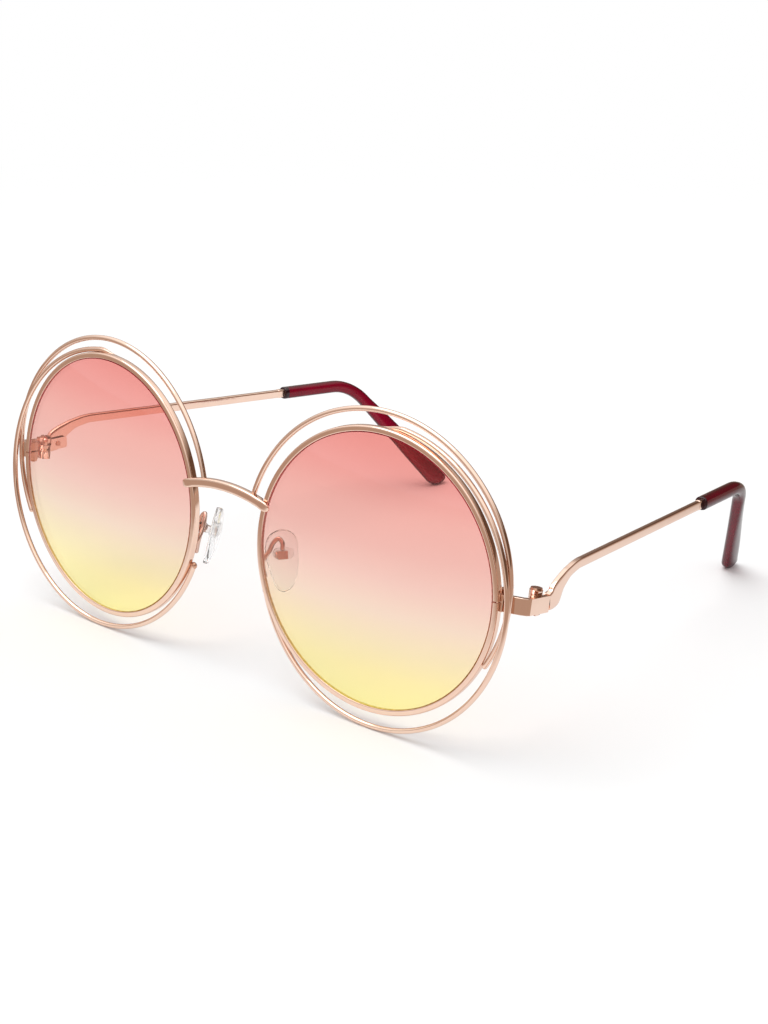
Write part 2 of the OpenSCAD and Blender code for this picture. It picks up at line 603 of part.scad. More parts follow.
// Points of the gooseneck from the rim to the box, as shares of the height of the pad
arm_shares = [[-0.028, -0.186, 0.066], [-0.012, -0.126, 0.19], [0.02, -0.049, 0.26], [0.066, 0, 0.195]];
arm_points = concat(
    [for (a = [0, 6]) ring_pt(concat(arm_foot_r * ray(arm_foot_dir - a), [-rim_half - 3 * solder - arm_r]))],
    [for (q = arm_shares) pad_pt(pad_len * q)],
    [pad_pt([cheek_r, 0, cheek_r + solder])]);
arm_steps = 4;
function arm_point(i) = arm_points[min(max(i, 0), len(arm_points) - 1)];
function arm_at(t) = let (i = min(floor(t), len(arm_points) - 2), u = t - i)
    catmull(arm_point(i - 1), arm_point(i), arm_point(i + 1), arm_point(i + 2), u);
arm_sides = 10;
function arm_ring(t) = let (dir = unit(arm_at(t + 0.03) - arm_at(t - 0.03)),
        side = unit(cross(dir, [0.3, 1, 0])), rise = cross(side, dir))
    [for (i = [0 : arm_sides - 1]) let (a = full_turn * (i + 0.5) / arm_sides)
        arm_at(t) + arm_r * (cos(a) * side + sin(a) * rise)];
module pad_arm() color(rose_gold)
    placed() sweep([for (k = [0 : arm_steps * (len(arm_points) - 1)]) arm_ring(k / arm_steps)], arm_sides);

// Two cheeks and a back wall, soldered to the arm
module pad_box() color(rose_gold) pad_frame() difference() {
    union() {
        rotate([90, 0, 0]) cylinder(2 * (cheek_in + cheek_t), cheek_r, cheek_r, center = true, $fn = bore_fn);
        translate([0, -cheek_in - cheek_t, -cheek_r])
            cube([cheek_r + cheek_t, 2 * (cheek_in + cheek_t), 2 * cheek_r]);
    }
    translate([-2 * cheek_r, -cheek_in, -2 * cheek_r])
        cube([3 * cheek_r - knuckle_fit, 2 * cheek_in, 4 * cheek_r]);
    rotate([90, 0, 0]) cylinder(4 * cheek_r, pad_screw_d / 2 + screw_fit, pad_screw_d / 2 + screw_fit,
        center = true, $fn = bore_fn);
}

module pad_screw() color(solder_gold) pad_frame() rotate([90, 0, 0]) difference() {
    half = cheek_in + cheek_t;
    head_h = pad_screw_d * 0.4;
    union() {
        cylinder(2 * half, pad_screw_d / 2, pad_screw_d / 2, center = true, $fn = bore_fn);
        translate([0, 0, half]) cylinder(head_h, pad_screw_d * 0.95, pad_screw_d * 0.8, $fn = bore_fn);
    }
    translate([-pad_screw_d, -slot_w / 2, half + head_h / 2]) cube([2 * pad_screw_d, slot_w, head_h]);
}

// A tab that turns on the pad screw, with a plate that the silicone is moulded round
module insert_plate(grow, t) {
    for (y = [0, insert_back]) translate([-pad_back - insert_t - grow, y, 0]) rotate([0, 90, 0])
        cylinder(t, insert_d / 2 + grow, insert_d / 2 + grow, $fn = bore_fn);
    translate([-pad_back - insert_t - grow, 0, -insert_d / 2 - grow])
        cube([t, insert_back, insert_d + 2 * grow]);
}
module pad_insert() color(rose_gold) pad_frame() difference() {
    union() {
        rotate([90, 0, 0]) cylinder(tab_t, tab_r, tab_r, center = true, $fn = bore_fn);
        translate([-pad_back - insert_t / 2, -tab_t / 2, -tab_r])
            cube([pad_back + insert_t / 2, tab_t, 2 * tab_r]);
        insert_plate(0, insert_t);
    }
    rotate([90, 0, 0]) cylinder(2 * tab_t, pad_screw_d / 2 + screw_fit, pad_screw_d / 2 + screw_fit,
        center = true, $fn = bore_fn);
}

// The pad is a drop shape, wide above and narrow below, crowned towards the nose
pad_rings = 14;
pad_sides = 16;
function pad_outline(u) = sqrt(max(0, 1 - pow(2 * u - 1, 4))) * (0.66 + 0.34 * smooth(u * 1.25));
function pad_ring(k) = let (u = 0.5 - 0.499 * cos(180 * k / (pad_rings - 1)),
        z = (u - 1 + pad_top_share) * pad_len, w = pad_w * pad_outline(u),
        t = pad_t * (0.35 + 0.65 * sqrt(max(0, 1 - pow(2 * u - 1, 2)))))
    [for (i = [0 : pad_sides - 1]) let (a = full_turn * (i + 0.5) / pad_sides, q = corner_pt(a, 0.8))
        [-pad_back - t / 2 - q.x * t / 2, pad_shift + q.y * w / 2, z]];
module nose_pad() color(clear) pad_frame() difference() {
    sweep([for (k = [0 : pad_rings - 1]) pad_ring(k)], pad_sides);
    insert_plate(solder, insert_t + over);
}

module other_side() mirror([1, 0, 0]) children();
module left_rim() rim();
module right_rim() other_side() rim();
module left_lens() lens();
module right_lens() other_side() lens();
module left_upper_wire() upper_wire();
module right_upper_wire() other_side() upper_wire();
module left_lower_wire() lower_wire();
module right_lower_wire() other_side() lower_wire();
module left_endpiece() endpiece();
module right_endpiece() other_side() endpiece();
module left_upper_lock() rim_lock(1);
module right_upper_lock() other_side() rim_lock(1);
module left_lower_lock() rim_lock(-1);
module right_lower_lock() other_side() rim_lock(-1);
module left_rim_screw() rim_screw();
module right_rim_screw() other_side() rim_screw();
module left_front_hinge() front_hinge();
module right_front_hinge() other_side() front_hinge();
module left_hinge_screw() hinge_screw();
module right_hinge_screw() other_side() hinge_screw();
module left_temple() temple();
module right_temple() other_side() temple();
module left_temple_hinge() temple_hinge();
module right_temple_hinge() other_side() temple_hinge();
module left_temple_rivet() temple_rivet();
module right_temple_rivet() other_side() temple_rivet();
module left_ear_tip() ear_tip();
module right_ear_tip() other_side() ear_tip();
module left_pad_arm() pad_arm();
module right_pad_arm() other_side() pad_arm();
module left_pad_box() pad_box();
module right_pad_box() other_side() pad_box();
module left_pad_screw() pad_screw();
module right_pad_screw() other_side() pad_screw();
module left_pad_insert() pad_insert();
module right_pad_insert() other_side() pad_insert();
module left_nose_pad() nose_pad();
module right_nose_pad() other_side() nose_pad();

bridge();
left_rim();
right_rim();
left_lens();
right_lens();
left_upper_wire();
right_upper_wire();
left_lower_wire();
right_lower_wire();
left_endpiece();
right_endpiece();
left_upper_lock();
right_upper_lock();
left_lower_lock();
right_lower_lock();
left_rim_screw();
right_rim_screw();
left_front_hinge();
right_front_hinge();
left_hinge_screw();
right_hinge_screw();
left_temple();
right_temple();
left_temple_hinge();
right_temple_hinge();
left_temple_rivet();
right_temple_rivet();
left_ear_tip();
right_ear_tip();
left_pad_arm();
right_pad_arm();
left_pad_box();
right_pad_box();
left_pad_screw();
right_pad_screw();
left_pad_insert();
right_pad_insert();
left_nose_pad();
right_nose_pad();
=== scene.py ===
# %% [markdown]
# # Oversized round sunglasses
# These are large round glasses in rose-gold wire. Each lens sits in a thin rim, and two loose
# wires swing round every rim like a halo. The lenses fade from rose to yellow, the ear tips
# are burgundy acetate, and two clear silicone pads rest on the nose.
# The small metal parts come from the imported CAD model, which is loaded as a fixed frame. This
# script gives every part its finish, and builds the round and the soft parts again, smoothly.

# %% Load the frame
import json
import math
import bmesh
import bpy
from mathutils import Matrix, Vector


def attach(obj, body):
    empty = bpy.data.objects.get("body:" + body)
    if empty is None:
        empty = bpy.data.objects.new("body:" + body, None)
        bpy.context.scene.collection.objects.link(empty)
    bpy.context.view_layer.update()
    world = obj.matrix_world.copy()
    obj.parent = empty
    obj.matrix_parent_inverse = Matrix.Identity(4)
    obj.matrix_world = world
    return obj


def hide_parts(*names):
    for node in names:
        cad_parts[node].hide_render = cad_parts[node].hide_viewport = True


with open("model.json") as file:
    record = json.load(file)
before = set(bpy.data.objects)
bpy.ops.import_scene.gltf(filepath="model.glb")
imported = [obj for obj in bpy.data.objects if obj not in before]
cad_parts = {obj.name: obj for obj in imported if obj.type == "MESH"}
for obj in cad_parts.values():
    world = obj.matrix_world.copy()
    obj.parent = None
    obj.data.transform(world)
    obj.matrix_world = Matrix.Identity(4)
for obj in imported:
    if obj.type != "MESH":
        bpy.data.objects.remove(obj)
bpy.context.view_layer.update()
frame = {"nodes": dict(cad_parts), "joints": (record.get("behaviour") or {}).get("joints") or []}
NODES = frame["nodes"]
MM = 0.001
JOINTS = {joint["name"]: joint for joint in frame["joints"]}
HINGE = Vector(JOINTS["left_temple_fold"]["pos_m"]) / MM
HINGE_BEHIND, HINGE_BELOW = 10.5, 0.6
FRONT_Y = HINGE.y - HINGE_BEHIND
LENS_Z = HINGE.z + HINGE_BELOW


# %% [markdown]
# ## Camera
# The photograph looks down a little, from the front left of the glasses, with a long lens that
# keeps the two rims close to true circles. The camera's place and turn were worked out from
# points that can be found on both sides of the glasses. They are kept relative to the lenses,
# whose place follows from the joint of the left temple.

# %% Camera
FOCAL, SENSOR = 72.49, 36
CAMERA_AT = Vector((296.67, FRONT_Y - 304.96, LENS_Z + 154.28)) * MM
CAMERA_TURN = [math.radians(a) for a in (70.486, -1.089, 40.2)]
camera = bpy.data.objects.new("camera", bpy.data.cameras.new("camera"))
bpy.context.scene.collection.objects.link(camera)
camera.location = CAMERA_AT
camera.rotation_euler = CAMERA_TURN
camera.data.lens = FOCAL
camera.data.sensor_width = SENSOR
camera.data.clip_start = 0.01
bpy.context.scene.camera = camera
bpy.context.scene.view_settings.view_transform = "Standard"
print("camera", camera.location)

# %% [markdown]
# ## Writing shaders
# Node trees are easier to read as sums than as boxes and wires. A small class wraps an output
# socket, so that `1 - mask * 0.5` adds its own Math nodes. One method adds any other node: it
# takes the node's type, its settings, and the values or links of its inputs.

# %% Shader helpers
class Wire:
    """An output socket that can be used in sums."""

    def __init__(self, paint, socket):
        self.paint, self.socket = paint, socket

    def math(self, operation, first, second):
        return self.paint.add("ShaderNodeMath", {"operation": operation}, {0: first, 1: second})

    def __add__(self, other): return self.math("ADD", self, other)
    def __radd__(self, other): return self.math("ADD", other, self)
    def __sub__(self, other): return self.math("SUBTRACT", self, other)
    def __rsub__(self, other): return self.math("SUBTRACT", other, self)
    def __mul__(self, other): return self.math("MULTIPLY", self, other)
    def __rmul__(self, other): return self.math("MULTIPLY", other, self)
    def __truediv__(self, other): return self.math("DIVIDE", self, other)


class Paint:
    """A node tree that is built from top to bottom."""

    def __init__(self, tree):
        self.tree = tree
        tree.nodes.clear()

    def add(self, kind, settings=None, inputs=None, out=0):
        node = self.tree.nodes.new(kind)
        for key, value in (settings or {}).items():
            if key == "stops":
                self.stops(node.color_ramp, value)
            else:
                setattr(node, key, value)
        for key, value in (inputs or {}).items():
            if isinstance(value, Wire):
                self.tree.links.new(value.socket, node.inputs[key])
            else:
                node.inputs[key].default_value = value
        return Wire(self, node.outputs[out]) if node.outputs else None

    def stops(self, ramp, stops):
        while len(ramp.elements) < len(stops):
            ramp.elements.new(1)
        for element, (place, colour) in zip(ramp.elements, stops):
            element.position = place
            element.color = (*colour, 1)

    def ramp(self, factor, stops):
        return self.add("ShaderNodeValToRGB", {"stops": stops}, {"Fac": factor})

    def mix(self, factor, first, second):
        return self.add("ShaderNodeMix", {"data_type": "RGBA"}, {0: factor, 6: first, 7: second}, 2)

    def noise(self, where, scale, detail=2):
        return self.add("ShaderNodeTexNoise", {}, {"Vector": where, "Scale": scale, "Detail": detail})

    def height(self, where):
        return self.add("ShaderNodeSeparateXYZ", {}, {0: where}, 2)

    def fade(self, value, low, high):
        """Rises softly from 0 to 1 while the value goes from low to high."""
        inputs = {"Value": value, "From Min": low, "From Max": high}
        return self.add("ShaderNodeMapRange", {"interpolation_type": "SMOOTHSTEP"}, inputs)

    def is_ray(self, *kinds):
        """Masks that are 1 for rays of each kind named."""
        node = self.add("ShaderNodeLightPath").socket.node
        return [Wire(self, node.outputs[f"Is {kind} Ray"]) for kind in kinds]

    def plastic(self, **inputs):
        values = {key.replace("_", " "): value for key, value in inputs.items()}
        return self.add("ShaderNodeBsdfPrincipled", {}, values)

    def bump(self, height, strength, depth, below=None):
        values = {"Height": height, "Strength": strength, "Distance": depth}
        if below:
            values["Normal"] = below
        return self.add("ShaderNodeBump", {}, values)


def new_paint(name):
    """A material with its tree cleared, and the place of each point on the piece."""
    material = bpy.data.materials.new(name)
    material.use_nodes = True
    paint = Paint(material.node_tree)
    place = paint.add("ShaderNodeTexCoord", out=3)
    return material, paint, place


def finish_paint(paint, shader):
    paint.add("ShaderNodeOutputMaterial", {}, {"Surface": shader})


# %% [markdown]
# ## Studio
# The photograph is a product shot on a white sweep. White paper below and a large soft light
# above leave only faint shadows under the wires and the ear tips. Polished wire looks like
# metal only when it has something dark to mirror. So the room that the metal sees has a dark
# flag on its right and a paler one on its left, and its floor dims away from the glasses. The
# camera and the clear parts see plain white.

# %% Floor and room
FLOOR_SIZE = 6
FLOOR_WHITE, FLOOR_GREY = (0.93, 0.93, 0.93, 1), (0.92, 0.92, 0.925, 1)
FLOOR_DUSK = (0.5, 0.38, 0.31, 1)
PLAIN_WHITE = (1, 1, 1, 1)
bpy.ops.object.select_all(action="DESELECT")
bpy.ops.mesh.primitive_plane_add(size=FLOOR_SIZE, location=(0, 0, 0))
floor = bpy.context.object
floor.name = floor.data.name = "floor"

material, paint, place = new_paint("white_sweep")
paper = paint.noise(place, 40)
paper_colour = paint.mix(paper * 0.1, FLOOR_WHITE, FLOOR_GREY)
sheet = paint.add("ShaderNodeBsdfDiffuse", {}, {"Color": paper_colour})
far_off = paint.add("ShaderNodeVectorMath", {"operation": "LENGTH"}, {0: place}, 1)
fade = paint.fade(far_off, 0.16, 0.6)
glossy, passed = paint.is_ray("Glossy", "Transmission")
mirrored = glossy * (1 - passed)
dusk = paint.fade(far_off, 0.11, 0.2)
glow_colour = paint.mix(mirrored, PLAIN_WHITE, FLOOR_DUSK)
glow = paint.add("ShaderNodeEmission", {}, {"Color": glow_colour, "Strength": 1})
lit_away = fade + mirrored * dusk * (1 - fade)
finish_paint(paint, paint.add("ShaderNodeMixShader", {}, {0: lit_away, 1: sheet, 2: glow}))
floor.data.materials.append(material)

ROOM_LIGHT = 0.69
world = bpy.data.worlds.new("studio")
bpy.context.scene.world = world
world.use_nodes = True
paint = Paint(world.node_tree)
aim = paint.add("ShaderNodeTexCoord")
up = paint.height(aim) * 0.5 + 0.5
lit_side = paint.ramp(up, [
    (0.0, (0.95, 0.93, 0.91)), (0.5, (0.93, 0.9, 0.87)),
    (0.54, (0.5, 0.41, 0.35)), (0.6, (0.66, 0.6, 0.56)), (0.7, (1.0, 0.98, 0.96)),
    (0.85, (1.35, 1.33, 1.3)), (1.0, (1.45, 1.45, 1.45))])
dark_side = paint.ramp(up, [
    (0.0, (0.9, 0.86, 0.82)), (0.49, (0.6, 0.5, 0.43)),
    (0.52, (0.16, 0.09, 0.06)), (0.68, (0.12, 0.07, 0.045)), (0.76, (0.45, 0.38, 0.33)),
    (0.86, (1.15, 1.12, 1.08)), (1.0, (1.3, 1.3, 1.3))])
RIGHT = (0.76, 0.65, 0)
across = paint.add("ShaderNodeVectorMath", {"operation": "DOT_PRODUCT"}, {0: aim, 1: RIGHT}, 1)
lamps = paint.mix(paint.fade(across, -0.15, 0.3), lit_side, dark_side)
seen, clear_seen, mirrored = paint.is_ray("Camera", "Transmission", "Glossy")
white = seen.math("MAXIMUM", seen, clear_seen)
soft = paint.mix(mirrored, (ROOM_LIGHT, ROOM_LIGHT, ROOM_LIGHT, 1), lamps)
room = paint.mix(white, soft, PLAIN_WHITE)
backdrop = paint.add("ShaderNodeBackground", {}, {"Color": room, "Strength": 1})
paint.add("ShaderNodeOutputWorld", {}, {"Surface": backdrop})

# %% [markdown]
# One broad lamp high above gives the main light. A sun lamp with a wide angle acts as a soft box
# that never ends, so the floor is lit the same everywhere.

# %% Lamp
LAMP_STRENGTH, LAMP_SPREAD, LAMP_TURN = 1.42, 50, (12, -14, 0)
lamp = bpy.data.lights.new("soft_box", "SUN")
lamp.energy = LAMP_STRENGTH
lamp.angle = math.radians(LAMP_SPREAD)
sun = bpy.data.objects.new("soft_box", lamp)
bpy.context.scene.collection.objects.link(sun)
sun.rotation_euler = [math.radians(a) for a in LAMP_TURN]
print("lamp", sun.name, "at strength", lamp.energy)

# %% [markdown]
# ## Rose gold
# The wire is plated and polished. Plating is never quite even: its tone drifts a little from
# redder to yellower, and the polish leaves fine, soft scratches that widen the highlights.
# At a glancing angle the colour is painted browner, a painted shade for the dark reflections along
# the edges of the wire. One recipe serves three times: bright for the wires, duller and redder for
# screws, solder and rivets, and darker for the fittings of the pads, where the same plate gets
# painted shade for the darker reflections they show.

# %% Gold finishes
def gold(name, light, deep, painted_shade_colour, polish, dull):
    material, paint, place = new_paint(name)
    drift = paint.noise(place, 70)
    smear = paint.noise(place, 900, 3)
    grain = paint.noise(place, 9000, 2)
    waves = paint.bump(paint.noise(place, 330, 1), 0.3, 0.00006)
    painted_shade_facing = paint.add("ShaderNodeLayerWeight", {}, {"Blend": 0.42}, 1)
    # Painted shade: the colour darkens towards a brown as the surface turns away from the camera.
    colour = paint.mix(painted_shade_facing * painted_shade_facing * painted_shade_facing, paint.mix(drift, light, deep), painted_shade_colour)
    rough = polish + (dull - polish) * smear
    dents = paint.bump(grain * 0.6 + smear * 0.4, 0.25, 0.00001, waves)
    finish_paint(paint, paint.plastic(Base_Color=colour, Metallic=1.0, Roughness=rough, Normal=dents))
    return material


GOLD = gold("rose_gold_plate", (0.93, 0.71, 0.59, 1), (0.86, 0.6, 0.48, 1),
            (0.34, 0.18, 0.12, 1), 0.03, 0.1)
SATIN = gold("satin_fasteners", (0.72, 0.43, 0.31, 1), (0.58, 0.32, 0.22, 1),
             (0.25, 0.12, 0.08, 1), 0.18, 0.3)
# Painted shade: the same rose gold plate, made darker for the pad fittings to stand for their darker
# reflections.
SHADED = gold("pad_hardware", (0.74, 0.52, 0.44, 1), (0.56, 0.37, 0.31, 1),
              (0.1, 0.045, 0.035, 1), 0.03, 0.1)

# %% [markdown]
# ## Tinted lenses
# Each lens is a clear shell that was dipped in dye: rose at the top, fading through peach to
# yellow at the bottom. The tint is a ramp over height. Light goes straight through a thin
# lens, so shadow rays pass a see-through shader instead of the glass. A fine line is painted round
# the ground edge, red above and olive below: painted shade for the rim's inner wall seen through the
# glass.

# %% Lens finish
LENS_R = 30
TINT_STOPS = [
    (0.0, (1.0, 0.96, 0.42)), (0.145, (0.99, 0.89, 0.44)), (0.26, (0.93, 0.8, 0.505)),
    (0.38, (0.905, 0.715, 0.575)), (0.5, (0.9, 0.6, 0.525)), (0.62, (0.88, 0.5, 0.445)),
    (0.74, (0.89, 0.455, 0.405)), (0.86, (0.87, 0.36, 0.325)), (1.0, (0.84, 0.29, 0.26))]
PAINTED_EDGE_STOPS = [
    (0.0, (0.85, 0.62, 0.07)), (0.25, (0.85, 0.5, 0.17)), (0.5, (0.8, 0.28, 0.2)),
    (0.75, (0.66, 0.07, 0.08)), (1.0, (0.6, 0.03, 0.06))]


def up_the_lens(paint, place):
    """0 at the bottom of the lenses and 1 at their top."""
    return (paint.height(place) - (LENS_Z - LENS_R) * MM) / (2 * LENS_R * MM)


material, paint, place = new_paint("dipped_tint")
height = up_the_lens(paint, place)
cloud = paint.noise(place, 60)
dye = paint.ramp(height + (cloud - 0.5) * 0.02, TINT_STOPS)
haze = paint.noise(place, 300)
glass = paint.plastic(Base_Color=dye, Roughness=haze * 0.02, IOR=1.4, Transmission_Weight=1.0)
let_through = paint.add("ShaderNodeBsdfTransparent", {}, {"Color": (0.99, 0.98, 0.975, 1)})
shade, = paint.is_ray("Shadow")
finish_paint(paint, paint.add("ShaderNodeMixShader", {}, {0: shade, 1: glass, 2: let_through}))
TINT = material

# Painted shade for the rim's inner wall seen through the glass, red above and olive below.
material, paint, place = new_paint("lens_edge_painted_shade")
edge_noise = paint.noise(place, 900)
colour = paint.ramp(up_the_lens(paint, place) + (edge_noise - 0.5) * 0.04, PAINTED_EDGE_STOPS)
finish_paint(paint, paint.plastic(
    Base_Color=colour, Roughness=0.2 + edge_noise * 0.15, IOR=1.4, Transmission_Weight=0.25))
LENS_EDGE_PAINTED_SHADE = material

# %% [markdown]
# ## Burgundy acetate
# The ear tips are tumbled acetate, glossy and just see-through, crimson with faint clouds in
# the plastic. Their edges are painted almost black, a painted shade that deepens as the surface
# turns away from the camera. At the mouth a black band is painted: painted shade for the dark
# ring that the rounded end of the tip shows.

# %% Acetate finish
material, paint, place = new_paint("burgundy_acetate")
cloud = paint.noise(place, 120, 3)
ripple = paint.noise(place, 500)
painted_shade_facing = paint.add("ShaderNodeLayerWeight", {}, {"Blend": 0.62}, 1)
glow = paint.mix(cloud, (0.46, 0.001, 0.035, 1), (0.22, 0.001, 0.015, 1))
# Painted shade: the crimson darkens to near black as the surface turns away from the camera.
colour = paint.mix(painted_shade_facing, glow, (0.008, 0.001, 0.002, 1))
rough = 0.05 + ripple * 0.06
dents = paint.bump(ripple, 0.15, 0.00003)
finish_paint(paint, paint.plastic(
    Base_Color=colour, Roughness=rough, Normal=dents, IOR=1.34, Transmission_Weight=0.12))
ACETATE = material

# Painted shade: a black band at the mouth of each ear tip, for the dark ring its rounded end shows.
material, paint, place = new_paint("mouth_painted_shade")
cloud = paint.noise(place, 700)
colour = paint.mix(cloud, (0.012, 0.001, 0.003, 1), (0.03, 0.002, 0.006, 1))
finish_paint(paint, paint.plastic(Base_Color=colour, Roughness=0.05 + cloud * 0.08, IOR=1.46))
MOUTH_PAINTED_SHADE = material

# %% [markdown]
# ## Clear silicone
# The nose pads are soft clear silicone, faintly milky. The plate moulded into each is harder
# clear plastic, and bends light a little more.

# %% Silicone finish
material, paint, place = new_paint("clear_silicone")
milk = paint.noise(place, 350, 3)
skin = paint.noise(place, 4000)
colour = paint.mix(milk, (0.99, 0.99, 0.99, 1), (0.95, 0.96, 0.97, 1))
rough = 0.02 + milk * 0.05
dents = paint.bump(skin, 0.1, 0.00001)
finish_paint(paint, paint.plastic(
    Base_Color=colour, Roughness=rough, Normal=dents, IOR=1.36, Transmission_Weight=0.93))
SILICONE = material

material, paint, place = new_paint("clear_insert")
cloud = paint.noise(place, 600)
colour = paint.mix(cloud, (0.96, 0.93, 0.92, 1), (0.9, 0.87, 0.86, 1))
finish_paint(paint, paint.plastic(
    Base_Color=colour, Roughness=0.04 + cloud * 0.05, IOR=1.5, Transmission_Weight=0.97))
CLEAR_INSERT = material

# %% [markdown]
# ## Dressing the CAD parts
# The hinges, locks and screws have their true shapes already, so they only get a finish. The
# pieces that were bent from strip or cut from bar have crisp edges in the CAD model. A bevel
# breaks them, so that they catch the light as filed and tumbled metal does.

# %% Finishes for the CAD nodes
FINISHES = (("lens", TINT), ("ear_tip", ACETATE), ("nose_pad", SILICONE),
            ("pad_insert", CLEAR_INSERT), ("pad_", SHADED), ("screw", SATIN), ("rivet", SATIN),
            ("lock", SATIN), ("", GOLD))
BROKEN_EDGES = {"endpiece": 0.16, "front_hinge": 0.08, "temple_hinge": 0.08, "lock": 0.08,
                "pad_box": 0.08}
WELD_GAP, SHARP_EDGE = 0.002, 28
for name, node in NODES.items():
    finish = next(material for part, material in FINISHES if part in name)
    node.data.materials.clear()
    node.data.materials.append(finish)
    for kind, width in BROKEN_EDGES.items():
        if name.endswith(kind):
            weld = node.modifiers.new("weld", "WELD")
            weld.merge_threshold = WELD_GAP * MM
            edge = node.modifiers.new("broken_edge", "BEVEL")
            edge.width, edge.segments = width * MM, 3
            edge.limit_method, edge.angle_limit = "ANGLE", math.radians(SHARP_EDGE)
print("dressed", len(NODES), "nodes")

# %% [markdown]
# ## Pulling a shape through rings
# Rims, lenses, wires, temples, ear tips and pads are all one kind of form: a section that
# changes its size and turn along a path. By hand, one adds a circle, and then extrudes it again
# and again, each time moving and stretching the new ring. This helper does the same.

# %% Ring helpers
def corner(turn, square):
    """A point of a rounded rectangle. Square is 1 for an ellipse and less for sharper corners."""
    c, s = math.cos(turn), math.sin(turn)
    return math.copysign(abs(c) ** square, c), math.copysign(abs(s) ** square, s)


def section(at, side, rise, low, high, thick, corners, square):
    """A ring round a point, in millimetres: thick to the side, and from -low to high along rise."""
    ring = []
    for i in range(corners):
        x, y = corner(math.tau * (i + 0.5) / corners, square)
        ring.append(at + side * x * thick / 2 + rise * ((high - low) / 2 + y * (high + low) / 2))
    return ring


def place_chosen(piece, ring, before):
    """Moves the selected vertices from the spots of one ring to those of the next."""
    shape = bmesh.from_edit_mesh(piece.data)
    for v in [v for v in shape.verts if v.select]:
        nearest = min(range(len(before)), key=lambda i: (before[i] * MM - v.co).length_squared)
        v.co = ring[nearest] * MM
    bmesh.update_edit_mesh(piece.data)


def pull(name, rings, material, body, angle=60):
    """Extrudes a circle through all the rings, and finishes the piece."""
    bpy.ops.object.select_all(action="DESELECT")
    count = len(rings[0])
    bpy.ops.mesh.primitive_circle_add(vertices=count, radius=MM, fill_type="NGON")
    piece = bpy.context.object
    piece.name = piece.data.name = name
    circle = [v.co / MM for v in piece.data.vertices]
    bpy.ops.object.mode_set(mode="EDIT")
    place_chosen(piece, rings[0], circle)
    for before, ring in zip(rings, rings[1:]):
        bpy.ops.mesh.extrude_region_move()
        place_chosen(piece, ring, before)
    bpy.ops.mesh.select_all(action="SELECT")
    bpy.ops.mesh.normals_make_consistent(inside=False)
    bpy.ops.object.mode_set(mode="OBJECT")
    return complete(piece, material, body, angle)


def complete(piece, material, body, angle=60):
    """Gives a piece its finish, smooth shading and body."""
    piece.data.materials.append(material)
    bpy.ops.object.select_all(action="DESELECT")
    piece.select_set(True)
    bpy.context.view_layer.objects.active = piece
    bpy.ops.object.shade_smooth_by_angle(angle=math.radians(angle))
    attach(piece, body)
    print(piece.name, "has", len(piece.data.polygons), "faces")
    return piece


def mirrored_ring(ring):
    return [Vector((-p.x, p.y, p.z)) for p in ring]


def smooth(u):
    u = min(max(u, 0), 1)
    return u * u * (3 - 2 * u)


def arch(u):
    return math.sqrt(max(0, 1 - u * u))


def turned(axis, degrees, v):
    return Matrix.Rotation(math.radians(degrees), 3, axis) @ Vector(v)


# %% [markdown]
# ## Rims and lenses
# Every hoop is measured in the plane of its lens, which turns back a little at the temple and
# leans back a little at the top. A rim is a rounded bar with a groove inside. It is open at one
# spot, behind the endpiece, where a screw draws it shut round its lens.

# %% Rims
LENS_GAP, WRAP, LEAN = 20.5, 4, 3.1
RIM_W, RIM_HALF, RIM_ROUND, BEVEL = 1.4, 0.9, 0.4, 0.45
OPEN_R = LENS_R - BEVEL
RIM_R = OPEN_R + RIM_W
FRONT_TURN = Matrix.Rotation(math.radians(-LEAN), 3, "X")
RING_TURN = (FRONT_TURN @ Matrix.Rotation(math.radians(WRAP), 3, "Z")
             @ Matrix.Rotation(math.pi / 2, 3, "X"))


def front_point(x, y, z):
    return Vector((0, FRONT_Y, LENS_Z)) + FRONT_TURN @ Vector((x, y, z))


RING_AT = front_point(LENS_GAP / 2 + LENS_R, 0, 0)


def in_ring(x, y, z):
    """A point given in the plane of the left lens, with z in front of it."""
    return RING_AT + RING_TURN @ Vector((x, y, z))


def hoop_point(degrees, r, depth):
    """A point at an angle and a radius round the left lens, and a depth in front of its plane."""
    a = math.radians(degrees)
    return in_ring(r * math.cos(a), r * math.sin(a), depth)


def both_sides(name, rings, material, body, node, angle=60):
    """Pulls a piece for the left side and its mirror image for the right, for a CAD node."""
    pieces = []
    for side, turn in (("left", list), ("right", mirrored_ring)):
        own_rings = [turn(ring) for ring in rings]
        piece = pull(f"{side}_{name}", own_rings, material, body.format(side), angle)
        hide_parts(f"{side}_{node}")
        pieces.append(piece)
    return pieces


GROOVE_LIP, CORNER_STEPS = 0.02, 5


def rim_outline():
    """Radius and depth of the points round a section of the rim."""
    points = []
    inner, outer, half = OPEN_R + RIM_ROUND, RIM_R - RIM_ROUND, RIM_HALF - RIM_ROUND
    quarters = ((outer, half, 0), (inner, half, 90), (inner, -half, 180), (outer, -half, 270))
    for r, depth, start in quarters:
        for i in range(CORNER_STEPS + 1):
            a = math.radians(start + 90 * i / CORNER_STEPS)
            points.append((r + RIM_ROUND * math.cos(a), depth + RIM_ROUND * math.sin(a)))
        if start == 90:
            points += [(OPEN_R + GROOVE_LIP, BEVEL), (LENS_R, 0), (OPEN_R + GROOVE_LIP, -BEVEL)]
    return points


LOCK_ANGLE, HALF_CUT = 2.1, 0.28
RIM_STEPS = 200
turns = [LOCK_ANGLE + HALF_CUT + (360 - 2 * HALF_CUT) * i / RIM_STEPS for i in range(RIM_STEPS + 1)]
rings = [[hoop_point(a, r, depth) for r, depth in rim_outline()] for a in turns]
both_sides("rim_hoop", rings, GOLD, "front", "rim", angle=40)

# %% [markdown]
# A lens starts as a small disc in the middle of its front. Each wider ring follows the outer
# sphere to the edge, goes over the bevel, and comes back along the inner sphere.

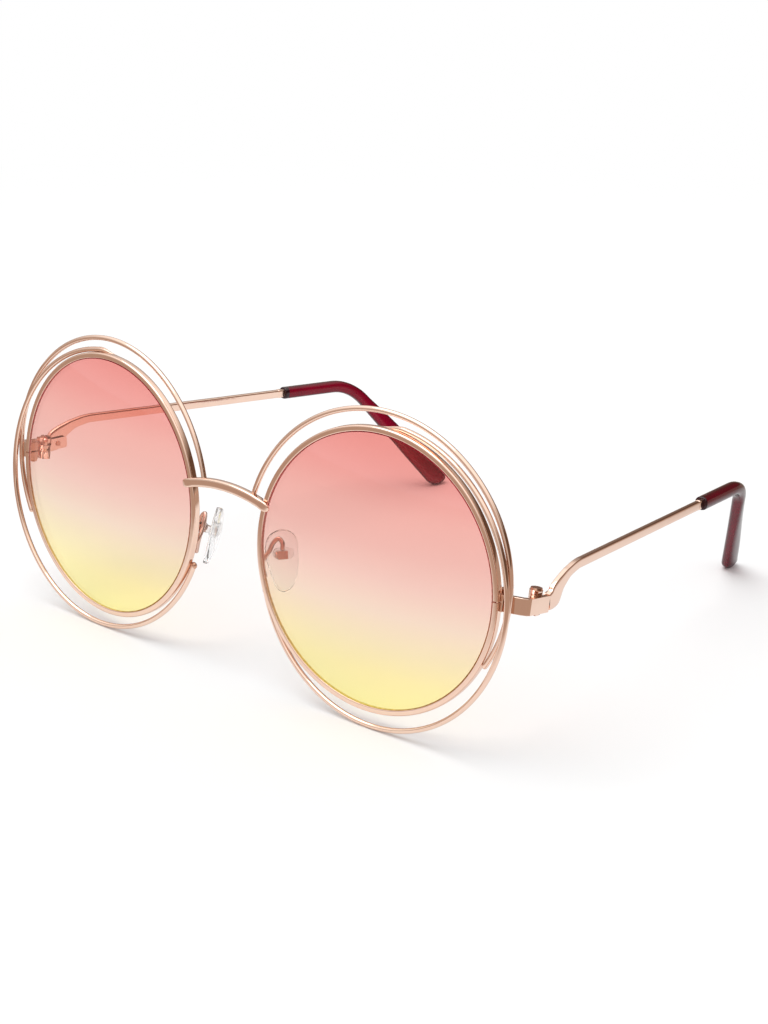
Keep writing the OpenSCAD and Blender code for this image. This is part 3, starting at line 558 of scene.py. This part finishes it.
# %% Lenses
LENS_T, LENS_CURVE, LENS_FIT, EDGE_SLACK = 1.8, 150, 0.03, 0.01
EDGE_R = OPEN_R - LENS_FIT
BULGE = LENS_T / 2 - math.sqrt(LENS_CURVE ** 2 - EDGE_R ** 2)
LENS_STEPS = (0.4, 4, 8, 12, 16, 20, 23.5, 26, 28, 29, EDGE_R)


def dome(r, inset=0):
    return BULGE + math.sqrt((LENS_CURVE - inset) ** 2 - r ** 2)


rounds = [(r, dome(r)) for r in LENS_STEPS]
rounds += [(EDGE_R, BEVEL), (LENS_R - LENS_FIT, 0), (EDGE_R, -BEVEL)]
rounds += [(r, dome(r, LENS_T)) for r in reversed(LENS_STEPS)]
LENS_CORNERS = 120
turns = [360 * i / LENS_CORNERS for i in range(LENS_CORNERS)]
rings = [[hoop_point(a, r, depth) for a in turns] for r, depth in rounds]
shells = both_sides("lens_shell", rings, TINT, "front", "lens", angle=30)
# Faces at the ground edge of each lens get the painted edge shade.
for lens, centre in zip(shells, [RING_AT] + mirrored_ring([RING_AT])):
    lens.data.materials.append(LENS_EDGE_PAINTED_SHADE)
    middle = centre * MM
    for face in lens.data.polygons:
        if (face.center - middle).length > (EDGE_R - EDGE_SLACK) * MM:
            face.material_index = 1

# %% [markdown]
# ## Halo wires and bridge
# The upper wire springs from the bridge, runs wide round the top, and closes on the rim below
# the hinge. The lower wire is one arc, soldered behind the rim at both ends and tipped forwards,
# so that it stands clear at the bottom. Its upper end is filed to a thin tail that lies along
# the rim. Wires are tubes with round ends.

# %% Halo wires
WIRE_R, SOLDER = 0.6, 0.03
HUG_R = RIM_R + WIRE_R + SOLDER


def tube(points, radius, up, corners=16, slim=()):
    """Rings round a line of points, with a half ball at each end. Slim thins the first points."""
    start = (points[0] - points[1]).normalized()
    end = (points[-1] - points[-2]).normalized()
    balls = [math.radians(a) for a in (82, 65, 48, 32, 16)]
    thin = radius * (slim[0] if slim else 1)
    line = [(points[0] + start * thin * math.sin(a), thin * math.cos(a)) for a in balls]
    line += [(p, radius * share) for p, share in zip(points, slim)]
    line += [(p, radius) for p in points[len(slim):]]
    line += [(points[-1] + end * radius * math.sin(a), radius * math.cos(a)) for a in reversed(balls)]
    rings = []
    for i, (at, size) in enumerate(line):
        ahead = (line[min(i + 1, len(line) - 1)][0] - line[max(i - 1, 0)][0]).normalized()
        side = ahead.cross(up).normalized()
        rise = side.cross(ahead)
        spokes = [math.tau * k / corners for k in range(corners)]
        rings.append([at + size * (math.cos(a) * side + math.sin(a) * rise) for a in spokes])
    return rings


def swing(first, last, step=1.5):
    count = max(1, round(abs(last - first) / step))
    return [first + (last - first) * i / count for i in range(count + 1)]


UPPER_GAP, UPPER_START, UPPER_TURN, UPPER_CLOSE, UPPER_LEAN = 2.65, 164.8, 38, 4.4, 1.2
UPPER_R = RIM_R + UPPER_GAP + WIRE_R
UPPER_BEND_R = UPPER_R - UPPER_CLOSE
UPPER_END = UPPER_TURN - math.degrees(math.acos(
    (HUG_R ** 2 - UPPER_CLOSE ** 2 - UPPER_BEND_R ** 2) / (2 * UPPER_CLOSE * UPPER_BEND_R)))


def upper_point(degrees, r, shift):
    a, turn, lean = math.radians(degrees), math.radians(UPPER_TURN), math.radians(UPPER_LEAN)
    x, y = r * math.cos(a) + shift * math.cos(turn), r * math.sin(a) + shift * math.sin(turn)
    return in_ring(x, y * math.cos(lean), WIRE_R / 3 - y * math.sin(lean))


line = [upper_point(a, UPPER_R, 0) for a in swing(UPPER_START, UPPER_TURN)]
line += [upper_point(a, UPPER_BEND_R, UPPER_CLOSE) for a in swing(UPPER_TURN, UPPER_END)[1:]]
AXIS = RING_TURN @ Vector((0, 0, 1))
both_sides("upper_halo", tube(line, WIRE_R, AXIS), GOLD, "front", "upper_wire")

LOWER_GAP, LOWER_START, LOWER_END, LOWER_TILT = 2.6, 80, -161, 3.6
LOWER_DIR = (LOWER_START + LOWER_END) / 2
LOWER_R = RIM_R + LOWER_GAP + WIRE_R
SEAT_R = RIM_R - RIM_ROUND + math.sqrt((RIM_ROUND + WIRE_R + SOLDER) ** 2 - RIM_ROUND ** 2)
swing_cos = math.cos(math.radians(LOWER_START - LOWER_DIR))
LOWER_K = (LOWER_R ** 2 - SEAT_R ** 2) / (2 * (1 - swing_cos))
LOWER_OFF = (LOWER_R - math.sqrt(LOWER_R ** 2 - 4 * LOWER_K)) / 2
ARC_R = LOWER_R - LOWER_OFF
END_U = LOWER_OFF + ARC_R * swing_cos


def lower_point(degrees):
    away, tilt = math.radians(LOWER_DIR), math.radians(LOWER_TILT)
    a = math.radians(degrees - LOWER_DIR)
    run = LOWER_OFF + ARC_R * math.cos(a) - END_U
    u, v = END_U + run * math.cos(tilt), ARC_R * math.sin(a)
    return in_ring(u * math.cos(away) - v * math.sin(away), u * math.sin(away) + v * math.cos(away),
                   run * math.sin(tilt) - RIM_HALF)


TAIL_END, TAIL_STEPS, TAIL_THIN = 92, 10, 0.3
tail = [TAIL_END + (LOWER_START - TAIL_END) * i / TAIL_STEPS for i in range(TAIL_STEPS)]
slim = [TAIL_THIN + (1 - TAIL_THIN) * smooth(i / TAIL_STEPS) for i in range(TAIL_STEPS)]
line = [hoop_point(a, SEAT_R - 2 * WIRE_R * (1 - share), -RIM_HALF) for a, share in zip(tail, slim)]
line += [lower_point(a) for a in swing(LOWER_START, LOWER_END)]
both_sides("lower_halo", tube(line, WIRE_R, AXIS, slim=slim), GOLD, "front", "lower_wire")

# %% [markdown]
# Small beads of solder are left where a wire ends. Each is a ball, squashed along the joint.

# %% Solder beads
BEADS = {"nose": (lower_point(LOWER_END), 0.72),
         "foot": (upper_point(UPPER_START, UPPER_R, 0), 0.78)}
SQUASH = (1.1, 0.85, 1.15)
for side, flip in (("left", 1), ("right", -1)):
    for name, (at, r) in BEADS.items():
        bpy.ops.object.select_all(action="DESELECT")
        bpy.ops.mesh.primitive_uv_sphere_add(segments=20, ring_count=12, radius=r * MM)
        bead = bpy.context.object
        bead.name = bead.data.name = f"{side}_{name}_solder"
        bpy.ops.object.mode_set(mode="EDIT")
        bpy.ops.transform.resize(value=SQUASH)
        bpy.ops.transform.translate(value=(at.x * flip * MM, at.y * MM, at.z * MM))
        bpy.ops.object.mode_set(mode="OBJECT")
        complete(bead, SATIN, "front")

# %% [markdown]
# The bridge is a low arched bar. At each end it thins to a leaf that lies over the front of the
# rim, where it is soldered on.

# %% Bridge
BRIDGE_H, BRIDGE_DEPTH, BRIDGE_ARCH, BRIDGE_RISE, BRIDGE_FRONT = 2.05, 1.8, 40, 9.6, 3
LEAF_FROM, LEAF_END, LEAF_STEP, LEAF_CUT = 10.4, 12.9, 0.8, 0.56
LEAF_LOW, LEAF_THIN, LEAF_SLACK = 0.04, 0.8, 0.01
BRIDGE_CORNERS, BRIDGE_SQUARE, BRIDGE_STEPS = 24, 0.42, 30


def bridge_ring(x):
    a = math.asin(x / BRIDGE_ARCH)
    over_rim = smooth((abs(x) - LEAF_FROM + LEAF_STEP / 2) / LEAF_STEP)
    taper = arch((max(0, abs(x) - LEAF_FROM) / (LEAF_END - LEAF_FROM + LEAF_SLACK)) ** 2)
    front, back = -BRIDGE_DEPTH / 2, BRIDGE_DEPTH / 2 - over_rim * BRIDGE_DEPTH * LEAF_CUT
    front += (1 - taper) * (back - front) * LEAF_THIN
    tall = BRIDGE_H * (LEAF_LOW + (1 - LEAF_LOW) * taper)
    ring = []
    for i in range(BRIDGE_CORNERS):
        p, q = corner(math.tau * (i + 0.5) / BRIDGE_CORNERS, BRIDGE_SQUARE)
        r = BRIDGE_ARCH + p * tall / 2
        y = (front + back) / 2 + q * (back - front) / 2 - BRIDGE_FRONT
        ring.append(front_point(r * math.sin(a), y, BRIDGE_RISE - BRIDGE_ARCH + r * math.cos(a)))
    return ring


half = [LEAF_END * math.sin(math.pi / 2 * i / BRIDGE_STEPS) for i in range(1, BRIDGE_STEPS + 1)]
rings = [bridge_ring(x) for x in [-x for x in reversed(half)] + [0] + half]
bridge = pull("bridge_bar", rings, GOLD, "front", angle=50)
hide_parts("bridge")

# %% [markdown]
# A pad arm starts flat on the back of the rim, rises in a gooseneck, and ends at the box that
# holds the pad. It is a thin tube on a smooth curve through listed points.

# %% Pad arms
PAD_AT = Vector(JOINTS["left_pad_rock"]["pos_m"]) / MM
PAD_SPLAY, PAD_LEAN = 30, 12
PAD_LEN, PAD_W, PAD_T = 13.6, 7.6, 2.2
PAD_BACK, PAD_SHIFT, PAD_TOP = 1.72, 0.88, 0.38
PAD_TURN = (FRONT_TURN @ Matrix.Rotation(math.radians(-PAD_SPLAY), 3, "Z")
            @ Matrix.Rotation(math.radians(-PAD_LEAN), 3, "Y"))
ARM_R, CHEEK_R = 0.5, 0.92
ARM = [(-0.028, -0.186, 0.066), (-0.012, -0.126, 0.19), (0.02, -0.049, 0.26), (0.066, 0, 0.195)]
ARM_FOOT, ARM_STEPS, ARM_SIDE = (-164, -170), 8, Vector((0.3, 1, 0))


def catmull(a, b, c, d, u):
    """A place between b and c on a smooth curve through four spots."""
    return tuple((2 * q + (r - p) * u + (2 * p - 5 * q + 4 * r - s) * u * u
                  + (3 * q - p - 3 * r + s) * u ** 3) / 2 for p, q, r, s in zip(a, b, c, d))


def pad_point(x, y, z):
    return PAD_AT + PAD_TURN @ Vector((x, y, z))


stops = [hoop_point(a, RIM_R - RIM_W / 3, -RIM_HALF - 3 * SOLDER - ARM_R) for a in ARM_FOOT]
stops += [pad_point(*(PAD_LEN * q for q in spot)) for spot in ARM]
stops.append(pad_point(CHEEK_R, 0, CHEEK_R + SOLDER + ARM_R * 0.9))
stops = [stops[0]] + stops + [stops[-1]]
spans = range(1, len(stops) - 2)
line = [Vector(catmull(*stops[i - 1:i + 3], k / ARM_STEPS)) for i in spans for k in range(ARM_STEPS)]
line.append(stops[-1])
both_sides("gooseneck", tube(line, ARM_R, ARM_SIDE), SHADED, "front", "pad_arm")

# %% [markdown]
# ## The line of a temple
# A temple starts flat at its hinge, swoops up to a straight bar, and bends down behind the ear.
# The frame says where each hinge turns, and everything else is measured from there: how long
# the swoop and the bar are, and how far the tip drops and turns in.

# %% Path of the temple
HINGE_TO_TEMPLE = Vector((2.05, 1.5, 0))
TEMPLE_AT = HINGE + HINGE_TO_TEMPLE
BAR_H, BAR_T, PLATE_H = 2.1, 1.3, 3.4
SWOOP_LEN, SWOOP_RISE = 13, 4.35
TEMPLE_IN, BAR_SLOPE = 7.8, 4.4
BEND_AT, BEND_R, MOUTH_AT = 98.8, 14, 74.8
TIP_DROP, TIP_IN = 50.3, 26.6

ALONG = turned("Z", TEMPLE_IN, (0, 1, 0))
OUTWARD = turned("Z", TEMPLE_IN, (1, 0, 0))
UPWARD = Vector((0, 0, 1))
slope = math.radians(BAR_SLOPE)
drop = math.radians(TIP_DROP)
BAR_DIR = math.cos(slope) * ALONG - math.sin(slope) * UPWARD
TIP_DIR = turned("Z", TEMPLE_IN + TIP_IN, (0, math.cos(drop), 0)) - math.sin(drop) * UPWARD
BEND_ANGLE = BAR_DIR.angle(TIP_DIR)
BEND_CUT = BEND_R * math.tan(BEND_ANGLE / 2)
BEND_SIDE = (TIP_DIR - TIP_DIR.dot(BAR_DIR) * BAR_DIR).normalized()
BAR_START = TEMPLE_AT + SWOOP_LEN * ALONG + SWOOP_RISE * UPWARD
CORNER = BAR_START + (BEND_AT - SWOOP_LEN) / math.cos(slope) * BAR_DIR
BEND_START = CORNER - BEND_CUT * BAR_DIR
BEND_CENTRE = BEND_START + BEND_R * BEND_SIDE
MOUTH = BAR_START + (MOUTH_AT - SWOOP_LEN) / math.cos(slope) * BAR_DIR
MOUTH_RUN = (BEND_START - MOUTH).length
BEND_RUN = BEND_R * BEND_ANGLE
BEND_END = MOUTH_RUN + BEND_RUN


def path(s):
    """Point and direction at s millimetres past the mouth of the ear tip."""
    if s <= MOUTH_RUN:
        return MOUTH + s * BAR_DIR, BAR_DIR
    if s <= BEND_END:
        a = (s - MOUTH_RUN) / BEND_R
        at = BEND_CENTRE - BEND_R * math.cos(a) * BEND_SIDE + BEND_R * math.sin(a) * BAR_DIR
        return at, math.sin(a) * BEND_SIDE + math.cos(a) * BAR_DIR
    return CORNER + (BEND_CUT + s - MOUTH_RUN - BEND_RUN) * TIP_DIR, TIP_DIR


def path_ring(s, low, high, thick, corners, square):
    at, ahead = path(s)
    side = (OUTWARD - OUTWARD.dot(ahead) * ahead).normalized()
    return section(at, side, side.cross(ahead), low, high, thick, corners, square)


print("mouth", MOUTH, "bend", round(MOUTH_RUN, 2), round(BEND_RUN, 2))

# %% [markdown]
# ## Temples
# The bar is stamped from flat wire, so its faces are flat and its edges just broken. It grows
# tall and twists slightly through the swoop. The swoop is drawn by a smooth curve through a
# few listed stations: how far along, how far up, how tall, and how far the section leans.

# %% Temples
SWOOP = [(0, 0, 1, 0), (0.077, 0.017, 1.5, -3), (0.15, 0.086, 2.06, 6), (0.235, 0.167, 2.4, 10),
         (0.32, 0.293, 2.36, 6), (0.404, 0.49, 1.65, -1), (0.496, 0.672, 1.07, -8),
         (0.65, 0.868, 0.21, 7), (0.838, 0.968, 0.1, 4), (1, 1, 0, -BAR_SLOPE)]
SWOOP_STEPS = 6
BAR_CORNERS, BAR_SQUARE = 32, 0.36
COLLAR = [(1.5, 0), (1.4, 0.12), (0.7, 0.12), (0.6, 0)]
CORE_LEN, CORE_W, CORE_FLAT, CORE_SQUARE = 44, 1.5, 0.75, 0.6


def swoop_rings():
    first = tuple(2 * a - b for a, b in zip(SWOOP[0], SWOOP[1]))
    last = tuple(2 * a - b for a, b in zip(SWOOP[-1], SWOOP[-2]))
    stations = [first] + SWOOP + [last]
    rings = []
    for i in range(1, len(stations) - 2):
        for k in range(SWOOP_STEPS):
            share = catmull(*stations[i - 1:i + 3], k / SWOOP_STEPS)
            lean = math.radians(share[3])
            at = TEMPLE_AT + share[0] * SWOOP_LEN * ALONG + share[1] * SWOOP_RISE * UPWARD
            rise = math.cos(lean) * UPWARD - math.sin(lean) * ALONG
            high = (BAR_H + (PLATE_H - BAR_H) * share[2]) / 2
            rings.append(section(at, OUTWARD, rise, high, high, BAR_T, BAR_CORNERS, BAR_SQUARE))
    return rings


def bar_ring(at, grow=0):
    rise = OUTWARD.cross(BAR_DIR)
    high = (BAR_H + grow * BAR_T) / 2
    return section(at, OUTWARD, rise, high, high, BAR_T * (1 + grow), BAR_CORNERS, BAR_SQUARE)


def temple_rings():
    rings = swoop_rings()
    rings += [bar_ring(BAR_START.lerp(MOUTH, share)) for share in (0, 0.02, 0.25, 0.5, 0.75)]
    rings += [bar_ring(MOUTH - q * BAR_T * BAR_DIR, grow) for q, grow in COLLAR]
    rings.append(bar_ring(MOUTH))
    half, flat = CORE_W / 2, CORE_W * CORE_FLAT
    for s in [0, MOUTH_RUN] + [MOUTH_RUN + BEND_RUN * i / 8 for i in range(1, 9)] + [CORE_LEN]:
        rings.append(path_ring(s, half, half, flat, BAR_CORNERS, CORE_SQUARE))
    return rings


both_sides("temple_bar", temple_rings(), GOLD, "temple_{}", "temple", angle=30)

# %% [markdown]
# ## Ear tips
# Each tip is a rod of acetate on the wire core. It stays slim round the bend. Then its rear
# edge flares to a paddle, which turns a little to lie flat on the head, and ends on a slant.

# %% Ear tips
TIP_W, TIP_T, PADDLE_W = 3.15, 3.1, 5.6
REAR_ROUND, UNDER_ROUND = TIP_W * 0.3, TIP_W * 1.4
MOUTH_ROUND = TIP_T / 8
TIP_TOTAL, TIP_TWIST = 64.43, 14
TIP_CORNERS, TIP_SQUARE, BORE_GAP = 32, 0.78, 0.03
PAINTED_MOUTH_BAND, TIP_TAPER, END_THIN = 0.95, 0.08, 0.4


def under_edge(s):
    u = max(0, s - TIP_TOTAL + UNDER_ROUND) / UNDER_ROUND
    return TIP_W / 2 - (PADDLE_W - REAR_ROUND * 1.3) * (1 - arch(u))


def rear_edge(s):
    flare = math.sin(math.pi / 2 * max(0, s - BEND_END) / (TIP_TOTAL - BEND_END))
    u = max(0, s - TIP_TOTAL + REAR_ROUND) / REAR_ROUND
    return TIP_W / 2 + (PADDLE_W - TIP_W) * flare - REAR_ROUND * (1 - arch(u))


def mouth_cut(s):
    """How much thinner the tip is where its mouth is rounded off."""
    return MOUTH_ROUND * (1 - arch(max(0, MOUTH_ROUND - s) / MOUTH_ROUND))


def tip_thick(s):
    u = max(0, s - TIP_TOTAL + TIP_T / 2) / (TIP_T / 2)
    slim = TIP_T * (1 - TIP_TAPER * smooth((s - MOUTH_RUN) / (TIP_TOTAL - MOUTH_RUN)))
    return slim * (END_THIN + (1 - END_THIN) * arch(u)) - mouth_cut(s)


def tip_ring(s):
    low, high = under_edge(s) - mouth_cut(s) / 2, rear_edge(s) - mouth_cut(s) / 2
    flat = path_ring(s, low, high, tip_thick(s), TIP_CORNERS, TIP_SQUARE)
    at, ahead = path(s)
    twist = TIP_TWIST * smooth((s - BEND_END) / (TIP_TOTAL - BEND_END - UNDER_ROUND))
    turn = Matrix.Rotation(math.radians(twist), 3, ahead)
    return [at + turn @ (p - at) for p in flat]


def tip_rings():
    round_from = TIP_TOTAL - UNDER_ROUND
    stations = [MOUTH_ROUND * (1 - math.cos(math.pi / 2 * i / 4)) for i in range(5)]
    stations += [MOUTH_RUN * share for share in (0.065, 0.2, 0.5, 1)]
    stations += [MOUTH_RUN + BEND_RUN * i / 16 for i in range(1, 17)]
    stations += [BEND_END + (round_from - BEND_END) * i / 16 for i in range(1, 17)]
    stations += [round_from + UNDER_ROUND * math.sin(math.pi / 2 * i / 18) for i in range(1, 19)]
    bore = [CORE_LEN + BORE_GAP] + [MOUTH_RUN + BEND_RUN * i / 8 for i in range(8, -1, -1)] + [0]
    reach, thick = CORE_W / 2 + BORE_GAP, CORE_W * CORE_FLAT + 2 * BORE_GAP
    inner = [path_ring(s, reach, reach, thick, TIP_CORNERS, CORE_SQUARE) for s in bore]
    return inner + [tip_ring(s) for s in stations]


sleeves = both_sides("tip_sleeve", tip_rings(), ACETATE, "temple_{}", "ear_tip", angle=45)
# Faces near the mouth get the painted black band.
for tip in sleeves:
    tip.data.materials.append(MOUTH_PAINTED_SHADE)
    for face in tip.data.polygons:
        if face.center.y < (MOUTH.y + PAINTED_MOUTH_BAND) * MM:
            face.material_index = 1

# %% [markdown]
# ## Nose pads
# A pad is a soft D of silicone. Its rear side is straight and its front side tapers downwards.
# It is crowned towards the nose, and nearly flat where its plate is moulded in.

# %% Nose pads
PAD_CORNERS, PAD_SQUARE, PAD_STEPS, POLE = 40, 0.8, 36, 0.4995


def pad_ring(u):
    """A ring round the pad, at a share u of its height."""
    z = (u - 1 + PAD_TOP) * PAD_LEN
    round_off = math.sqrt(max(0, 1 - (2 * u - 1) ** 4))
    rear = PAD_W / 2 * round_off * (0.84 + 0.16 * smooth(u * 2))
    front = PAD_W / 2 * round_off * (0.5 + 0.5 * smooth(u * 1.35))
    thick = PAD_T * (0.35 + 0.65 * arch(2 * u - 1))
    ring = []
    for i in range(PAD_CORNERS):
        x, y = corner(math.tau * (i + 0.5) / PAD_CORNERS, PAD_SQUARE)
        reach = rear if y > 0 else front
        ring.append(pad_point(-PAD_BACK - thick / 2 - x * thick / 2, PAD_SHIFT + y * reach, z))
    return ring


heights = [0.5 - POLE * math.cos(math.pi * k / PAD_STEPS) for k in range(PAD_STEPS + 1)]
rings = [pad_ring(u) for u in heights]
both_sides("silicone_pad", rings, SILICONE, "pad_{}", "nose_pad", angle=80)
